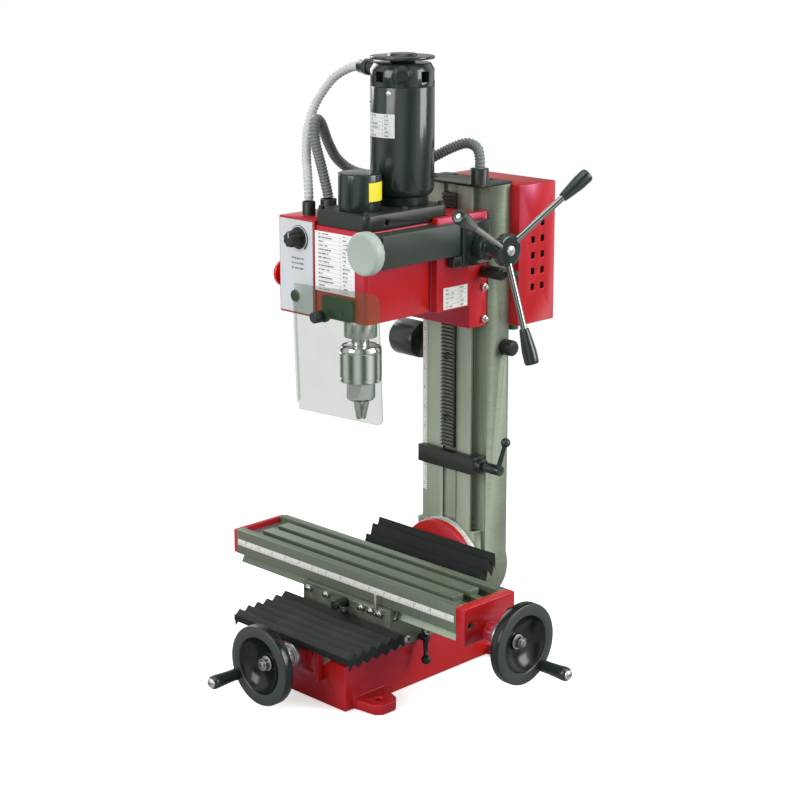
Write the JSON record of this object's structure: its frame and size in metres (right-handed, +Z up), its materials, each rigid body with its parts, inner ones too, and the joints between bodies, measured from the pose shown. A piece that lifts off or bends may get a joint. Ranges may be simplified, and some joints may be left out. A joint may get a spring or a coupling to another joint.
{
  "type": "benchtop milling machine",
  "caption": "Benchtop mill and drill: cross-sliding table on a dovetailed base, tilting column with rack feed, geared head, motor and drill chuck.",
  "frame": {"origin": "on the foot plane, straight below the spindle's axis", "axes": "+X to the operator's right along the table, +Y back to the column, +Z up"},
  "size_m": [0.5198, 0.4858, 0.761],
  "materials": {
    "red_paint": "gloss",
    "black_paint": "satin",
    "black_plastic": "satin",
    "machined_iron": "machined",
    "steel": "machined",
    "chrome": "polished",
    "bellows_rubber": "matte",
    "brass": "machined",
    "scale_strip": "satin",
    "plate_white": "satin",
    "button_red": "gloss",
    "guard_sheet": "clear",
    "grey_plastic": "satin",
    "conduit_light": "satin",
    "conduit_dark": "satin",
    "board": "satin"
  },
  "bodies": {
    "base": {"base_casting": "red_paint", "angle_scale": "scale_strip", "tilt_bolt": "steel", "y_bracket": "red_paint", "bellows_front": "bellows_rubber", "bellows_rear": "bellows_rubber"},
    "saddle": {"saddle": "machined_iron", "saddle_gibs": "steel", "lead_nuts": "brass"},
    "table": {"table": "machined_iron", "table_scale": "scale_strip", "end_plates": "red_paint"},
    "table_wheel": {"x_wheel": "black_paint", "x_screw": "steel"},
    "table_crank": {"x_handle": "black_plastic"},
    "saddle_wheel": {"y_wheel": "black_paint", "y_screw": "steel"},
    "saddle_crank": {"y_handle": "black_plastic"},
    "table_lock": {"table_lock": "black_plastic"},
    "saddle_lock": {"saddle_lock": "black_plastic"},
    "column": {"column": "machined_iron", "rack": "steel", "column_scale": "scale_strip", "top_plate": "black_paint", "electrics_box": "red_paint", "drive_board": "board", "spring_cup": "black_plastic", "spring_shaft": "black_plastic", "conduit_column": "conduit_dark"},
    "stop": {"stop_bar": "black_paint"},
    "stop_lever": {"stop_lever": "black_plastic"},
    "head": {"head_casting": "red_paint", "motor_plate": "black_paint", "motor_shell": "black_paint", "motor_cap": "black_paint", "spindle_cap": "black_plastic", "control_box": "red_paint", "face_plates": "plate_white", "feed_cover": "black_plastic", "worm_box": "black_paint", "head_screws": "steel", "bearings": "steel", "guard_bracket": "black_paint", "conduit_motor": "conduit_light"},
    "speed_knob": {"speed_knob": "black_plastic"},
    "stop_button": {"stop_button": "button_red"},
    "guard": {"guard": "guard_sheet"},
    "head_lock": {"head_lock": "black_plastic"},
    "feed": {"feed_hub": "black_paint", "spokes": "chrome", "grips": "black_plastic"},
    "fine_knob": {"fine_knob": "grey_plastic"},
    "spindle": {"spindle": "steel", "chuck_body": "chrome"},
    "idler": {"idler": "steel"},
    "rotor": {"rotor": "steel"},
    "chuck_sleeve": {"chuck_sleeve": "chrome"},
    "jaw_a": {"jaw_a": "steel"},
    "jaw_b": {"jaw_b": "steel"},
    "jaw_c": {"jaw_c": "steel"}
  },
  "joints": [
    {"name": "column_tilt", "type": "hinge", "parent": "base", "child": "column", "pos_m": [0, 0.15, 0.105], "axis": [0, 1, 0], "range_deg": [-45, 45]},
    {"name": "saddle_crank_turn", "type": "hinge", "parent": "base", "child": "saddle_wheel", "pos_m": [0, -0.148, 0.058], "axis": [0, -1, 0], "range_deg": [-9600, 14400]},
    {"name": "saddle_slide", "type": "slide", "parent": "base", "child": "saddle", "axis": [0, -1, 0], "range_m": [-0.0401, 0.0601], "deforming": ["bellows_front", "bellows_rear"]},
    {"name": "saddle_grip_spin", "type": "hinge", "parent": "saddle_wheel", "child": "saddle_crank", "pos_m": [-0.037, -0.148, 0.038], "axis": [0, 1, 0], "continuous": true},
    {"name": "table_crank_turn", "type": "hinge", "parent": "table", "child": "table_wheel", "pos_m": [0.2275, 0.0225, 0.1012], "axis": [1, 0, 0], "range_deg": [-22440, 30360]},
    {"name": "table_slide", "type": "slide", "parent": "saddle", "child": "table", "axis": [1, 0, 0], "range_m": [-0.0936, 0.1266]},
    {"name": "table_grip_spin", "type": "hinge", "parent": "table_wheel", "child": "table_crank", "pos_m": [0.2275, 0.0495, 0.0682], "axis": [1, 0, 0], "continuous": true},
    {"name": "table_lock_turn", "type": "hinge", "parent": "saddle", "child": "table_lock", "pos_m": [0, -0.028, 0.1], "axis": [0, 1, 0], "range_deg": [-60, 3]},
    {"name": "saddle_lock_turn", "type": "hinge", "parent": "saddle", "child": "saddle_lock", "pos_m": [0.078, 0.0255, 0.0616], "axis": [1, 0, 0], "range_deg": [-35, 35]},
    {"name": "stop_slide", "type": "slide", "parent": "column", "child": "stop", "axis": [0, 0, 1], "range_m": [-0.03, 0.003]},
    {"name": "stop_lever_turn", "type": "hinge", "parent": "stop", "child": "stop_lever", "pos_m": [0.066, 0.149, 0.248], "axis": [1, 0, 0], "range_deg": [-50, 50]},
    {"name": "feed_turn", "type": "hinge", "parent": "head", "child": "feed", "pos_m": [0.11, 0.135, 0.53], "axis": [-1, 0, 0], "range_deg": [-873, 136]},
    {"name": "head_slide", "type": "slide", "parent": "column", "child": "head", "axis": [0, 0, 1], "range_m": [-0.1602, 0.0252], "deforming": ["conduit_column"]},
    {"name": "fine_feed_turn", "type": "hinge", "parent": "head", "child": "fine_knob", "pos_m": [0.058, -0.042, 0.5425], "axis": [0, 1, 0], "continuous": true},
    {"name": "speed_turn", "type": "hinge", "parent": "head", "child": "speed_knob", "pos_m": [-0.0712, -0.042, 0.543], "axis": [0, 1, 0], "range_deg": [-130, 130]},
    {"name": "stop_press", "type": "slide", "parent": "head", "child": "stop_button", "axis": [1, 0, 0], "range_m": [0, 0.004]},
    {"name": "guard_swing", "type": "hinge", "parent": "head", "child": "guard", "pos_m": [-0.02, -0.044, 0.457], "axis": [0, 1, 0], "range_deg": [-8, 60]},
    {"name": "head_lock_turn", "type": "hinge", "parent": "head", "child": "head_lock", "pos_m": [0.07, 0.157, 0.494], "axis": [1, 0, 0], "range_deg": [-60, 60]},
    {"name": "spindle_turn", "type": "hinge", "parent": "head", "child": "spindle", "pos_m": [0, 0, 0.48], "axis": [0, 0, 1], "continuous": true},
    {"name": "idler_turn", "type": "hinge", "parent": "head", "child": "idler", "pos_m": [0, 0.039, 0.54], "axis": [0, 0, 1], "continuous": true},
    {"name": "rotor_turn", "type": "hinge", "parent": "head", "child": "rotor", "pos_m": [0, 0.071, 0.65], "axis": [0, 0, 1], "continuous": true},
    {"name": "sleeve_turn", "type": "hinge", "parent": "spindle", "child": "chuck_sleeve", "pos_m": [0, 0, 0.396], "axis": [0, 0, 1], "range_deg": [0, 540]},
    {"name": "jaw_a_slide", "type": "slide", "parent": "spindle", "child": "jaw_a", "axis": [0.1801, 0.104, 0.9781], "range_m": [-0.00001, 0.01401]},
    {"name": "jaw_b_slide", "type": "slide", "parent": "spindle", "child": "jaw_b", "axis": [-0.1801, 0.104, 0.9781], "range_m": [-0.00001, 0.01401]},
    {"name": "jaw_c_slide", "type": "slide", "parent": "spindle", "child": "jaw_c", "axis": [0, -0.2079, 0.9781], "range_m": [-0.00001, 0.01401]}
  ],
  "couplings": [
    {"joint": "saddle_slide", "follows": "saddle_crank_turn", "m_per_rad": 0.00023873},
    {"joint": "table_slide", "follows": "table_crank_turn", "m_per_rad": 0.00023873},
    {"joint": "head_slide", "follows": "feed_turn", "m_per_rad": 0.0105},
    {"joint": "idler_turn", "follows": "spindle_turn", "ratio": -1.8889},
    {"joint": "rotor_turn", "follows": "spindle_turn", "ratio": 6.746},
    {"joint": "jaw_a_slide", "follows": "sleeve_turn", "m_per_rad": 0.0014854},
    {"joint": "jaw_b_slide", "follows": "sleeve_turn", "m_per_rad": 0.0014854},
    {"joint": "jaw_c_slide", "follows": "sleeve_turn", "m_per_rad": 0.0014854}
  ]
}
